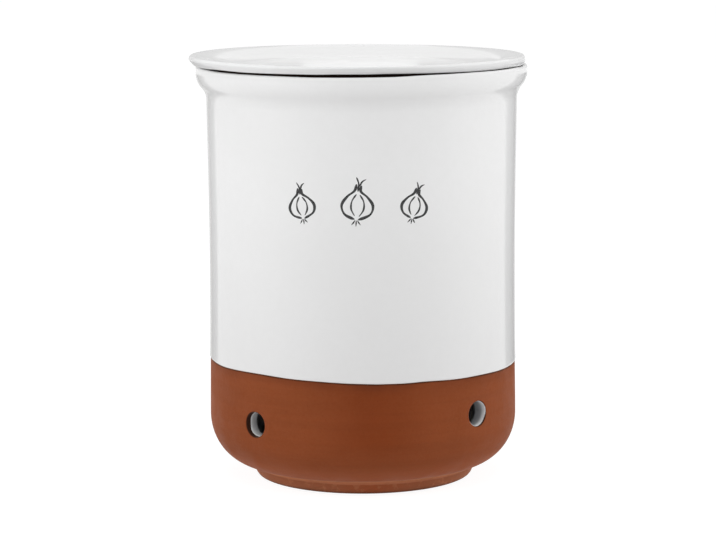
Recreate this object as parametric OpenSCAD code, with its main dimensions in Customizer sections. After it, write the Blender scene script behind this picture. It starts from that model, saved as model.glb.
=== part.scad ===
// Onion keeper: a vented terracotta pot, half dipped in white glaze, with a loose dished lid.
// Millimetres. Z is up, and the origin is the centre of the foot's resting face.
// The vents look along X and Y, so the front of the pot lies between +X and -Y.
// Sizes are those of the fired clay. The glaze adds its own thickness to them.

/* [Pot] */
// Outside diameter of the wall at its foot and below the rim
pot_d = 160.4; // [140:0.2:190]
// Height of the clay rim
pot_h = 215.1; // [180:0.1:260]
// How far the wall draws in at its waist
waist = 0.75; // [0:0.05:2]
// Thickness of the wall, measured at its foot
wall_t = 7.5; // [5:0.1:10]
// Thickness of the floor
floor_t = 9; // [6:0.5:14]
// Radius between the inside of the wall and the floor
inner_corner_r = 16; // [4:0.5:24]
// How far the rounded lower corner reaches in
corner_w = 22; // [10:0.5:28]
// How far the rounded lower corner reaches up
corner_h = 25.7; // [12:0.1:32]

/* [Foot] */
// Height of the foot ring
foot_h = 7.3; // [5.5:0.1:12]
// Width of the foot ring
foot_w = 10.5; // [8:0.5:16]
// Concave fillet between the lower corner and the foot's side
foot_fillet = 1.1; // [0.5:0.1:3]
// Rounding of the foot's outer edge
foot_edge_r = 3.8; // [0.5:0.1:4.2]
// Rounding of the foot's inner edge
foot_inner_edge_r = 0.8; // [0.2:0.1:1.5]
// Depth of the hollow under the pot
hollow_h = 4; // [2:0.5:8]

/* [Rim] */
// How far the rim stands out over the wall
rim_out = 5.45; // [3:0.05:8]
// Radius of the two arcs of the rim's S curve
rim_curve_r = 13.5; // [8:0.5:20]
// Height of the upright band over the S curve
rim_band_h = 1.4; // [0.5:0.1:5]
// Rounding of the rim's outer edge
rim_edge_r = 1.8; // [0.8:0.1:2.2]
// Rounding of the rim's inner edge
rim_inner_edge_r = 1.5; // [0.5:0.1:2]
// Thickness of the rim outside the shelf
rim_t = 5; // [4.4:0.1:7]
// Depth of the shelf below the rim
shelf_h = 4; // [3:0.1:8]
// Rounding of the shelf's inner edge
shelf_edge_r = 0.6; // [0.2:0.1:1.2]

/* [Vents] */
// Diameter of the vents, drilled in the clay
vent_d = 13; // [8:0.5:16]
// Height of the two vents on X
vent_x_z = 41.5; // [36:0.5:52]
// Height of the two vents on Y
vent_y_z = 37; // [34:0.5:52]
// Rounding of the vents' mouths
vent_edge_r = 0.6; // [0.2:0.1:1.2]
// Bare clay behind the rounded mouths of the vents on X
vent_x_bare = 0.2; // [0.1:0.1:3]
// Bare clay behind the rounded mouths of the vents on Y
vent_y_bare = 1.4; // [0.1:0.1:3]

/* [Glaze] */
// Thickness of the glaze
glaze_t = 0.3; // [0.2:0.05:0.5]
// Height of the glaze's lower edge on the outside
glaze_line = 61.9; // [52:0.1:150]
// Width of the glaze on the rim's flat top, inside its rounded edge
rim_glaze_w = 0.4; // [0.1:0.1:1]
// Width of the glaze on the flat underside of the lid's lip
lip_glaze_w = 2; // [0.5:0.1:3]
// Bare clay left between the linings and the surfaces where the lid and the pot touch
dry_w = 1; // [0.5:0.1:1.4]

/* [Lid] */
// How far the lid's lip reaches out over the rim
lid_over = 1.05; // [0:0.05:4]
// Height of the lid's crest over the rim
lid_rise = 5.35; // [4.5:0.05:8]
// Height of the gap between the rim and the lid's lip
lip_gap = 2; // [1:0.1:2.4]
// Rounding of the lip's edge
lip_edge_r = 1.2; // [0.5:0.05:1.2]
// Slope of the lip's underside at its edge
lip_slope = 45; // [30:1:60]
// Depth of the dish below the crest
dish_h = 6; // [3:0.5:8]
// Width of the slope between the dish's floor and its crest
dish_slope_w = 25; // [8:0.5:40]
// Fillet between the lip and the lid's neck
neck_fillet = 2; // [0.8:0.1:2.5]
// Radial play of the lid's neck inside the rim
neck_play = 3.4; // [1.4:0.1:4]
// Radial play of the lid's well inside the wall
well_play = 3.7; // [2.5:0.1:6]
// Depth of the lid's well below its seat
well_h = 2.75; // [2:0.05:8]
// Rounding of the well's lower edge
well_edge_r = 1.2; // [0.4:0.1:1.5]
// Rounding of the seat ring's outer edge
seat_edge_r = 0.5; // [0.2:0.1:1]
// Share of its neck's play by which the lid lies to one side
lid_pushed = 0.68; // [0:0.02:0.9]
// Direction in which the lid lies to one side
lid_pushed_a = 223; // [0:1:359]

/* [Hidden] */
$fn = 128;

CLAY = "#8c4d32";
WHITE = "#f0efed";

// Steps in which a rounding, an S curve arc and a long curve are drawn
edge_steps = 6;
arc_steps = 10;
long_steps = 16;

// Radii of the pot
wall_r = pot_d / 2;
bore_r = wall_r - wall_t;
rim_r = wall_r + rim_out;
shelf_r = rim_r - rim_t;
vent_r = vent_d / 2;
foot_r = wall_r - corner_w - foot_fillet;

// Heights of the pot
floor_z = hollow_h + floor_t;
wall_z = foot_h + corner_h;
shelf_z = pot_h - shelf_h;
rim_curve_a = acos(1 - rim_out / (2 * rim_curve_r));
rim_curve_top = pot_h - rim_edge_r - rim_band_h;
rim_curve_z = rim_curve_top - 2 * rim_curve_r * sin(rim_curve_a);

// Radii and heights of the lid
lid_r = rim_r + lid_over;
dish_r = lid_r - lip_edge_r - dish_slope_w;
seat_r = shelf_r - neck_play;
well_r = bore_r - well_play;
crest_z = pot_h + lid_rise;
lip_z = pot_h + lip_gap;
dish_z = crest_z - dish_h;
well_z = shelf_z - well_h;
lid_shift = lid_pushed * neck_play;

// Points on an arc about (r, z), from one angle to another
function arc(r, z, radius, from, to, steps) =
    [for (i = [0:steps]) let (a = from + (to - from) * i / steps)
        [r + radius * cos(a), z + radius * sin(a)]];

function reversed(points) = [for (i = [len(points) - 1:-1:0]) points[i]];

// Outside radius of the wall at a height between the lower corner and the rim
function wall_r_at(z) = wall_r - waist * sin(180 * (z - wall_z) / (rim_curve_z - wall_z));

// Underside of the pot, from the middle of its hollow to the end of the lower corner
function pot_underside() = concat(
    [[0, hollow_h], [foot_r - foot_w, hollow_h]],
    arc(foot_r - foot_w + foot_inner_edge_r, foot_inner_edge_r, foot_inner_edge_r, 180, 270, edge_steps),
    arc(foot_r - foot_edge_r, foot_edge_r, foot_edge_r, -90, 0, edge_steps),
    arc(foot_r + foot_fillet, foot_h - foot_fillet, foot_fillet, 180, 90, edge_steps),
    [for (i = [0:long_steps]) let (a = -90 + 90 * i / long_steps)
        [wall_r - corner_w + corner_w * cos(a), wall_z + corner_h * sin(a)]]);

// Outside of the pot from the lower corner to the rim's flat top, under a coat t thick
function pot_outside(t) = concat(
    [for (i = [0:long_steps]) let (z = wall_z + (rim_curve_z - wall_z) * i / long_steps)
        [wall_r_at(z) + t, z]],
    arc(wall_r + rim_curve_r, rim_curve_z, rim_curve_r - t, 180, 180 - rim_curve_a, arc_steps),
    arc(rim_r - rim_curve_r, rim_curve_top, rim_curve_r + t, -rim_curve_a, 0, arc_steps),
    arc(rim_r - rim_edge_r, pot_h - rim_edge_r, rim_edge_r + t, 0, 90, edge_steps));

// Inside of the rim and the shelf, down to the start of the wall's inside
function rim_inside() = concat(
    arc(shelf_r + rim_inner_edge_r, pot_h - rim_inner_edge_r, rim_inner_edge_r, 90, 180, edge_steps),
    [[shelf_r, shelf_z]],
    arc(bore_r + shelf_edge_r, shelf_z - shelf_edge_r, shelf_edge_r, 90, 180, edge_steps));

// Inside of the pot from a height on the wall to the middle of the floor, under a coat t thick
function pot_inside(t, start_z) = concat(
    [[bore_r - t, start_z]],
    arc(bore_r - inner_corner_r, floor_z + inner_corner_r, inner_corner_r - t, 0, -90, arc_steps),
    [[0, floor_z + t]]);

// Top of the lid from the middle of the dish over the lip to its flat underside, under a coat t thick
function lid_outside(t) =
    let (
        edge = arc(lid_r - lip_edge_r, crest_z - lip_edge_r, lip_edge_r + t, 90, lip_slope - 90, edge_steps),
        last = edge[edge_steps])
    concat(
        [[0, dish_z + t]],
        [for (i = [0:long_steps]) let (
            s = i / long_steps,
            n = [-dish_h * PI / 2 / dish_slope_w * sin(180 * s), 1])
            [dish_r + dish_slope_w * s, dish_z + dish_h * (1 - cos(180 * s)) / 2] + n * t / norm(n)],
        edge,
        [[last.x - (last.y - lip_z + t) / tan(lip_slope), lip_z - t]]);

// Neck of the lid and its seat ring, from under the lip to the well
function lid_neck() = concat(
    arc(seat_r + neck_fillet, lip_z - neck_fillet, neck_fillet, 90, 180, edge_steps),
    arc(seat_r - seat_edge_r, shelf_z + seat_edge_r, seat_edge_r, 0, -90, edge_steps),
    [[well_r, shelf_z]]);

// Underside of the lid from a height on the well to its middle, under a coat t thick
function lid_underside(t, start_z) = concat(
    [[well_r + t, start_z]],
    arc(well_r - well_edge_r, well_z + well_edge_r, well_edge_r + t, 0, -90, edge_steps),
    [[0, well_z - t]]);

// Two vents at one height: a rod along X through the whole pot, with a rounded mouth at each end
module vent_rod(z) {
    mouth = wall_r_at(z);
    far = mouth + wall_t;
    end = concat(
        arc(vent_r + vent_edge_r, mouth - vent_edge_r, vent_edge_r, 180, 90, edge_steps),
        [[vent_r + vent_edge_r, far], [0, far]]);
    translate([0, 0, z]) rotate([0, 90, 0]) rotate_extrude()
        polygon(concat(reversed([for (p = end) [p.x, -p.y]]), end));
}

// A plain rod along X through the middle of two vents at one height
module vent_core(z, reach, r) {
    translate([0, 0, z]) rotate([0, 90, 0]) cylinder(h = 2 * reach, r = r, center = true);
}

// Glaze plugs in the four vents, from inside the lining to the bare clay at each mouth
module vent_plugs() {
    difference() {
        union() {
            vent_core(vent_x_z, wall_r_at(vent_x_z) - vent_edge_r - vent_x_bare, vent_r);
            rotate([0, 0, 90]) vent_core(vent_y_z, wall_r_at(vent_y_z) - vent_edge_r - vent_y_bare, vent_r);
        }
        cylinder(h = pot_h, r = bore_r - glaze_t / 2);
    }
}

// Moves the lid's pieces to where the lid lies on its shelf
module on_shelf() {
    translate(lid_shift * [cos(lid_pushed_a), sin(lid_pushed_a), 0]) children();
}

module clay_pot() {
    color(CLAY) difference() {
        rotate_extrude() polygon(concat(
            pot_underside(),
            pot_outside(0),
            rim_inside(),
            pot_inside(0, shelf_z - shelf_edge_r)));
        vent_rod(vent_x_z);
        rotate([0, 0, 90]) vent_rod(vent_y_z);
    }
}

module outer_glaze() {
    end_r = rim_r - rim_edge_r - rim_glaze_w;
    color(WHITE) rotate_extrude() intersection() {
        polygon(concat(
            pot_outside(glaze_t),
            [[end_r, pot_h + glaze_t], [end_r, pot_h]],
            reversed(pot_outside(0))));
        translate([0, glaze_line]) square([2 * rim_r, pot_h]);
    }
}

module inner_glaze() {
    start_z = shelf_z - shelf_edge_r - dry_w;
    color(WHITE) difference() {
        union() {
            rotate_extrude() polygon(concat(
                pot_inside(0, start_z),
                reversed(pot_inside(glaze_t, start_z))));
            vent_plugs();
        }
        vent_core(vent_x_z, wall_r, vent_r - glaze_t);
        rotate([0, 0, 90]) vent_core(vent_y_z, wall_r, vent_r - glaze_t);
    }
}

module clay_lid() {
    color(CLAY) on_shelf() rotate_extrude() polygon(concat(
        lid_outside(0),
        lid_neck(),
        lid_underside(0, shelf_z)));
}

module lid_glaze() {
    top = lid_outside(0);
    end_r = top[len(top) - 1].x - lip_glaze_w;
    color(WHITE) on_shelf() rotate_extrude() polygon(concat(
        lid_outside(glaze_t),
        [[end_r, lip_z - glaze_t], [end_r, lip_z]],
        reversed(top)));
}

module lid_inner_glaze() {
    color(WHITE) on_shelf() rotate_extrude() polygon(concat(
        lid_underside(0, shelf_z - dry_w),
        reversed(lid_underside(glaze_t, shelf_z - dry_w))));
}

clay_pot();
outer_glaze();
inner_glaze();
clay_lid();
lid_glaze();
lid_inner_glaze();
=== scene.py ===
import math

import bmesh
import bpy
import numpy as np
from mathutils import Euler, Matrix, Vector

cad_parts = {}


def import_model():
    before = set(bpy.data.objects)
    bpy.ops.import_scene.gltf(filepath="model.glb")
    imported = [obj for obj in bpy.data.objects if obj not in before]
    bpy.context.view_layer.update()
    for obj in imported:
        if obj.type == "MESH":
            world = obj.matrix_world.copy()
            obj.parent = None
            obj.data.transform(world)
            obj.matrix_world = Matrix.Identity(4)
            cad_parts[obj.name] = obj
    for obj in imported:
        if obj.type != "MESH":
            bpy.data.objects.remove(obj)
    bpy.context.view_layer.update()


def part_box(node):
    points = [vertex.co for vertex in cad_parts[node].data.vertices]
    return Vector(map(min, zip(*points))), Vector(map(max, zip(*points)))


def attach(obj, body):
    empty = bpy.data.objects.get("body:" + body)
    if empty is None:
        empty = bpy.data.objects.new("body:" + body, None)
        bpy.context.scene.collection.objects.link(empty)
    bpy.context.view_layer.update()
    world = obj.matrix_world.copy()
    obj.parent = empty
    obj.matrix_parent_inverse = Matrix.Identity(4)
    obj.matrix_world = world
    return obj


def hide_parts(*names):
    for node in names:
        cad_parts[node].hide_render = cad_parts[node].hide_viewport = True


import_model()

MM = 0.001
scene = bpy.context.scene

# Sizes in millimetres, as in the solids but for the rim's curve, band and edge and the glaze's thickness
WALL_R, POT_H, WAIST, WALL_T, FLOOR_T = 80.2, 215.1, 0.75, 7.5, 9.0
INNER_R, CORNER_W, CORNER_H = 16.0, 22.0, 25.7
FOOT_H, FOOT_W, FOOT_FILLET, FOOT_EDGE, FOOT_IN_EDGE, HOLLOW_H = 7.3, 10.5, 1.1, 3.8, 0.8, 4.0
RIM_OUT, RIM_CURVE_R, RIM_BAND_H, RIM_EDGE, RIM_IN_EDGE, RIM_T = 5.45, 11.0, 2.1, 1.0, 1.5, 5.0
SHELF_H, SHELF_EDGE = 4.0, 0.6
VENT_R, VENT_EDGE, VENT_X_Z, VENT_Y_Z = 6.5, 0.6, 41.5, 37.0
GLAZE, GLAZE_LINE, LIP_GLAZE_W, DRY = 0.26, 61.9, 2.0, 1.0
LID_OVER, LID_RISE, LIP_GAP, LIP_EDGE, LIP_SLOPE = 1.05, 5.35, 2.0, 1.2, 45
DISH_H, DISH_SLOPE_W, NECK_FILLET, NECK_PLAY = 6.0, 25.0, 2.0, 3.4
WELL_PLAY, WELL_H, WELL_EDGE, SEAT_EDGE = 3.7, 2.75, 1.2, 0.5

# Sizes of the scene alone: the glazed strip on the rim's top from the outside in, and two edges
RIM_GLAZE_W, HOLLOW_EDGE, LIP_EDGE_FRONT = 2.2, 1.2, 0.3

# Sizes that follow
BORE_R = WALL_R - WALL_T
RIM_R = WALL_R + RIM_OUT
SHELF_R = RIM_R - RIM_T
FOOT_R = WALL_R - CORNER_W - FOOT_FILLET
FLOOR_Z = HOLLOW_H + FLOOR_T
WALL_Z = FOOT_H + CORNER_H
SHELF_Z = POT_H - SHELF_H
RIM_A = math.degrees(math.acos(1 - RIM_OUT / (2 * RIM_CURVE_R)))
RIM_TOP = POT_H - RIM_EDGE - RIM_BAND_H
RIM_Z = RIM_TOP - 2 * RIM_CURVE_R * math.sin(math.radians(RIM_A))
LID_R = RIM_R + LID_OVER
DISH_R = LID_R - LIP_EDGE - DISH_SLOPE_W
SEAT_R = SHELF_R - NECK_PLAY
WELL_R = BORE_R - WELL_PLAY
CREST_Z, LIP_Z = POT_H + LID_RISE, POT_H + LIP_GAP
DISH_Z, WELL_Z = CREST_Z - DISH_H, SHELF_Z - WELL_H

# Where the photograph was taken from: degrees round the axis, from -Y towards +X
VIEW_A = 43.3
FRONT = math.radians(VIEW_A - 90)
RIGHT = math.radians(VIEW_A)

# Columns of a turned mesh, and how far each lies to the photograph's right and to its back, from -1 to 1
N = 288
ANGLES = np.arange(N) * 2 * np.pi / N
ACROSS, AWAY = np.cos(ANGLES - RIGHT), np.sin(ANGLES - RIGHT)

# Vents by bearing and height, the block of cells that each takes out, and the rows that hold all blocks
VENTS = [(0, VENT_X_Z), (90, VENT_Y_Z), (180, VENT_X_Z), (270, VENT_Y_Z)]
ROW = 1.125
HALF_ROWS, HALF_COLS = 10, 6
LAST_ROW = 2 * HALF_ROWS + round((VENT_X_Z - VENT_Y_Z) / ROW)
VENT_ROWS = VENT_Y_Z - HALF_ROWS * ROW + ROW * np.arange(LAST_ROW + 1)

# Rows that only divide flat stretches: their radii, and one height on the foot's side
HOLLOW_ROWS, FOOT_ROWS, SHELF_ROWS = (12, 24, 36, 42), (49.4, 51.4), (78.5, 76)
FLOOR_ROWS, LINING_ROWS, LINING_BACK_ROWS = (40, 20), (44, 32, 20, 9), (20,)
DISH_ROWS, SEAT_ROWS, WELL_ROWS = (10, 20, 30, 40, 50, 57), (74.5, 72), (60, 45, 30, 15)
FOOT_SIDE_Z = 5.0


def arc(r, z, radius, start, end, steps):
    a = np.radians(np.linspace(start, end, steps + 1))
    return [(r + radius * math.cos(x), z + radius * math.sin(x)) for x in a]


# Uneven lines
def smooth(lo, hi, x):
    """An eased step from 0 at lo to 1 at hi."""
    t = np.clip((np.asarray(x, float) - lo) / (hi - lo), 0, 1)
    return t * t * (3 - 2 * t)


def window(x, rise, full, fade, end):
    """1 between full and fade, eased to 0 at rise and at end."""
    return smooth(rise, full, x) * smooth(end, fade, x)


def hump(x, place, width):
    return np.exp(-((x - place) / width) ** 2)


def uneven(x, steps=(), windows=(), humps=()):
    """A sum of eased steps, windows and humps along x, each given by its height and its places."""
    parts = [h * smooth(*places, x) for h, *places in steps]
    parts += [h * window(x, *places) for h, *places in windows]
    parts += [h * hump(x, *places) for h, *places in humps]
    return sum(parts)


def ripple(x, *waves):
    """A sum of small waves along x, each given by its height, its count in a turn and its start."""
    return sum(h * np.sin(k * x + start) for h, k, start in waves)


# The waist: how much its ends are eased, and the value that keeps its depth
WAIST_EASE, WAIST_FULL = 0.15, 0.8612

# The glaze line: its lean, its long waves by place across the view, and its small ones all round
LINE_TILT = 1.1
LINE_HUMPS = ((1.0, -0.70, 0.17), (0.52, -0.38, 0.20), (0.62, 0.39, 0.125), (-0.17, 0.09, 0.07))
LINE_RIPPLE = ((0.13, 5, 1.0), (0.09, 9, 2.2), (0.05, 17, 0.4))


def wall_r_at(z):
    """Outside radius of the wall, which runs on into the corner and the rim without a crease."""
    s = np.sin(np.pi * np.clip((z - WALL_Z) / (RIM_Z - WALL_Z), 0, 1))
    return WALL_R - WAIST * (np.sqrt(s * s + WAIST_EASE ** 2) - WAIST_EASE) / WAIST_FULL


def corner_r_at(z):
    """Outside radius of the clay where the lower corner and the wall hold the vents."""
    z = np.asarray(z, float)
    d = np.clip((WALL_Z - z) / CORNER_H, 0, 1)
    return np.where(z < WALL_Z, WALL_R - CORNER_W + CORNER_W * np.sqrt(1 - d * d), wall_r_at(z))


def bore_r_at(z, t=0.0):
    """Inside radius of the pot under a coat t thick, on the wall and on the inner corner."""
    z = np.asarray(z, float)
    d = np.clip(FLOOR_Z + INNER_R - z, 0, None)
    rad = INNER_R - t
    return np.where(d > 0, BORE_R - INNER_R + np.sqrt(np.clip(rad * rad - d * d, 0, None)), BORE_R - t)


def glaze_line(th):
    """Height of the outer glaze's lower edge: lower on the right, with a few long waves and small ones."""
    c = np.cos(th - RIGHT)
    return GLAZE_LINE - LINE_TILT * c + uneven(c, humps=LINE_HUMPS) + ripple(th, *LINE_RIPPLE)


# Outlines, as lists of radius and height

# The bend under the lip, from where its sloped and its flat part would meet
LIP_BEND = ((0.5, 0.5), (0.1, 0.16), (-0.35, 0.02), (-0.9, 0.0))


def pot_underside():
    fr, fi = FOOT_R, FOOT_R - FOOT_W
    pts = [(r, HOLLOW_H) for r in HOLLOW_ROWS]
    pts += arc(fi - HOLLOW_EDGE, HOLLOW_H - HOLLOW_EDGE, HOLLOW_EDGE, 90, 0, 5)
    pts += arc(fi + FOOT_IN_EDGE, FOOT_IN_EDGE, FOOT_IN_EDGE, 180, 270, 5)
    pts += [(r, 0.0) for r in FOOT_ROWS]
    pts += arc(fr - FOOT_EDGE, FOOT_EDGE, FOOT_EDGE, -90, 0, 9)
    pts += [(fr, FOOT_SIDE_Z)]
    pts += arc(fr + FOOT_FILLET, FOOT_H - FOOT_FILLET, FOOT_FILLET, 180, 90, 6)
    top = math.degrees(math.asin((VENT_ROWS[0] - WALL_Z) / CORNER_H))
    for a in np.radians(np.linspace(-90, top, 26)[1:-1]):
        pts.append((WALL_R - CORNER_W + CORNER_W * math.cos(a), WALL_Z + CORNER_H * math.sin(a)))
    return pts


def inner_corner(t, steps):
    """The inside's rounded corner below the vents' rows, under a coat t thick."""
    top = math.degrees(math.asin((VENT_ROWS[0] - FLOOR_Z - INNER_R) / (INNER_R - t)))
    return arc(BORE_R - INNER_R, FLOOR_Z + INNER_R, INNER_R - t, top, -90, steps)[1:]


def rim_outside(t, fine):
    """The rim's S curve and rounded edge under a coat t thick, in steps times fine."""
    pts = arc(WALL_R + RIM_CURVE_R, RIM_Z, RIM_CURVE_R - t, 180, 180 - RIM_A, 7 * fine)
    pts += arc(RIM_R - RIM_CURVE_R, RIM_TOP, RIM_CURVE_R + t, -RIM_A, 0, 7 * fine)[1:]
    pts += arc(RIM_R - RIM_EDGE, POT_H - RIM_EDGE, RIM_EDGE + t, 0, 90, 6 * fine)
    return pts


def rim_inside():
    return arc(SHELF_R + RIM_IN_EDGE, POT_H - RIM_IN_EDGE, RIM_IN_EDGE, 90, 180, 4) + [(SHELF_R, SHELF_Z)]


def lid_top(t, fine, edge_r):
    """The lid from its dish over the lip to the flat part of the lip's underside."""
    pts = [(r, DISH_Z + t) for r in DISH_ROWS]
    for s in np.linspace(0, 1, 20 * fine + 1):
        n = np.array([-DISH_H * math.pi / 2 / DISH_SLOPE_W * math.sin(math.pi * s), 1.0])
        n *= t / np.linalg.norm(n)
        pts.append((DISH_R + (DISH_SLOPE_W + LIP_EDGE - edge_r) * s + n[0],
                    DISH_Z + DISH_H * (1 - math.cos(math.pi * s)) / 2 + n[1]))
    edge = arc(LID_R - edge_r, CREST_Z - edge_r, edge_r + t, 90, LIP_SLOPE - 90, 6 * fine)
    pts += edge[1:]
    r, z = edge[-1]
    bend_r = r - (z - LIP_Z + t) / math.tan(math.radians(LIP_SLOPE))
    # The bend between the sloped and the flat underside of the lip is eased
    return pts + [(bend_r + u, LIP_Z - t + v) for u, v in LIP_BEND]


def lid_top_rows(t, fine):
    """The same rows with one value per column: towards the front the lip's edge is less rounded."""
    wide, slim = np.array(lid_top(t, fine, LIP_EDGE)), np.array(lid_top(t, fine, LIP_EDGE_FRONT))
    w = uneven(ACROSS, humps=((1.0, 0.1, 0.45),), steps=((0.1, -0.8, -0.97),))
    return [(a[0] * (1 - w) + b[0] * w, a[1] * (1 - w) + b[1] * w) for a, b in zip(wide, slim)]


def lid_neck():
    fillet = arc(SEAT_R + NECK_FILLET, LIP_Z - NECK_FILLET, NECK_FILLET, 90, 180, 5)
    return fillet + [(SEAT_R, SHELF_Z + SEAT_EDGE)]


def lid_under(t, start_z):
    pts = [(WELL_R + t, start_z)]
    pts += arc(WELL_R - WELL_EDGE, WELL_Z + WELL_EDGE, WELL_EDGE + t, 0, -90, 6)
    return pts + [(r, WELL_Z - t) for r in WELL_ROWS]


# Mesh building
def turn(r, z):
    """Points of a row: r and z are numbers or one value per column."""
    r, z = np.broadcast_to(r, ANGLES.shape), np.broadcast_to(z, ANGLES.shape)
    return np.stack([r * np.cos(ANGLES), r * np.sin(ANGLES), z], 1)


class Build:
    """A mesh in the making, in millimetres."""

    def __init__(self):
        self.verts, self.faces = [], []

    def ring(self, points):
        first = len(self.verts)
        self.verts.extend([tuple(p) for p in points])
        return np.arange(first, first + len(points))

    def row(self, r, z):
        return self.ring(turn(r, z))

    def bridge(self, a, b):
        for i in range(len(a)):
            j = (i + 1) % len(a)
            self.faces.append((a[i], a[j], b[j], b[i]))

    def cap(self, ring, point):
        pole = self.ring([point])[0]
        for i in range(len(ring)):
            self.faces.append((ring[i], ring[(i + 1) % len(ring)], pole))

    def strip(self, rows, skip=()):
        """Bridges rows of columns one after the other, leaving out the given (row, column) cells."""
        skip = set(skip)
        for k in range(len(rows) - 1):
            a, b = rows[k], rows[k + 1]
            for i in range(N):
                if (k, i) not in skip:
                    j = (i + 1) % N
                    self.faces.append((a[i], a[j], b[j], b[i]))

    def piece(self, name, body, material, slot, *nodes, sharp=None):
        """Makes the piece, which rides on a body and stands for the given nodes of the solids."""
        mesh = bpy.data.meshes.new(name)
        mesh.from_pydata([(x * MM, y * MM, z * MM) for x, y, z in self.verts], [], self.faces)
        bm = bmesh.new()
        bm.from_mesh(mesh)
        bmesh.ops.recalc_face_normals(bm, faces=bm.faces)
        bm.to_mesh(mesh)
        bm.free()
        mesh.shade_smooth()
        if sharp:
            mesh.set_sharp_from_angle(angle=math.radians(sharp))
        mesh.materials.append(material)
        o = bpy.data.objects.new(name, mesh)
        scene.collection.objects.link(o)
        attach(o, body)
        if nodes:
            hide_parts(*nodes)
        return o


def paint(o, name, values):
    a = o.data.attributes.new(name, "FLOAT", "POINT")
    a.data.foreach_set("value", np.asarray(values, np.float32))


# Vents

# Below 1, the rings of a patch lie closer together towards the opening
RING_CROWD = 0.8


def vent_span(vz):
    """The first and the last of the vents' rows that a vent at this height takes up."""
    first = int(round((vz - HALF_ROWS * ROW - VENT_ROWS[0]) / ROW))
    return first, first + 2 * HALF_ROWS


def vent_block(rows, low, top, col):
    """The cells that a vent takes out between two rows, and the vertices round them in order."""
    cols = [(col + i) % N for i in range(-HALF_COLS, HALF_COLS + 1)]
    cells = [(k, c) for c in cols[:-1] for k in range(min(low, top), max(low, top))]
    step = 1 if low < top else -1
    loop = [rows[low][c] for c in cols]
    loop += [rows[k][cols[-1]] for k in range(low + step, top, step)]
    loop += [rows[top][c] for c in reversed(cols)]
    loop += [rows[k][cols[0]] for k in range(top - step, low, -step)]
    return cells, loop


def local(points, deg):
    """Coordinates along a vent's axis, across it and up."""
    a = math.radians(deg)
    p = np.asarray(points, float)
    return np.stack([p[:, 0] * math.cos(a) + p[:, 1] * math.sin(a),
                     -p[:, 0] * math.sin(a) + p[:, 1] * math.cos(a), p[:, 2]], 1)


def world(points, deg):
    return local(points, -deg)


def along(b, ring, deg):
    return local([b.verts[i] for i in ring], deg)[:, 0]


def vent_patch(b, loop, deg, vz, radius, radius_at, steps):
    """Rings from a block's edge in to a round opening, on a surface of radius radius_at(z).

    Returns the last ring and the angles of its points round the vent."""
    loc = local([b.verts[i] for i in loop], deg)
    p, q = loc[:, 1], loc[:, 2] - vz
    phi = np.arctan2(q, p)
    rad = np.broadcast_to(radius(phi) if callable(radius) else radius, phi.shape)
    ring = np.array(loop)
    for s in np.linspace(0, 1, steps + 1)[1:]:
        e = s ** RING_CROWD
        pp, qq = p * (1 - e) + rad * np.cos(phi) * e, q * (1 - e) + rad * np.sin(phi) * e
        rr = radius_at(vz + qq)
        pts = np.stack([np.sqrt(rr * rr - pp * pp), pp, vz + qq], 1)
        new = b.ring(world(pts, deg))
        b.bridge(ring, new)
        ring = new
    return ring, phi


def tube(b, ring, deg, vz, phi, stations):
    """Rings along a vent: each station gives a place on its axis and a radius, one value per point."""
    for x, rad in stations:
        x, rad = np.broadcast_to(x, phi.shape), np.broadcast_to(rad, phi.shape)
        pts = np.stack([x, rad * np.cos(phi), vz + rad * np.sin(phi)], 1)
        new = b.ring(world(pts, deg))
        b.bridge(ring, new)
        ring = new
    return ring


def rounded(x, rad, edge, way):
    """Stations of a rounded edge into a vent, outward along its axis (1) or inward (-1)."""
    turns = np.radians(np.linspace(90, 180, 6))[1:]
    return [(x + way * edge * (1 - math.sin(a)), rad + edge * math.cos(a)) for a in turns]


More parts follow.
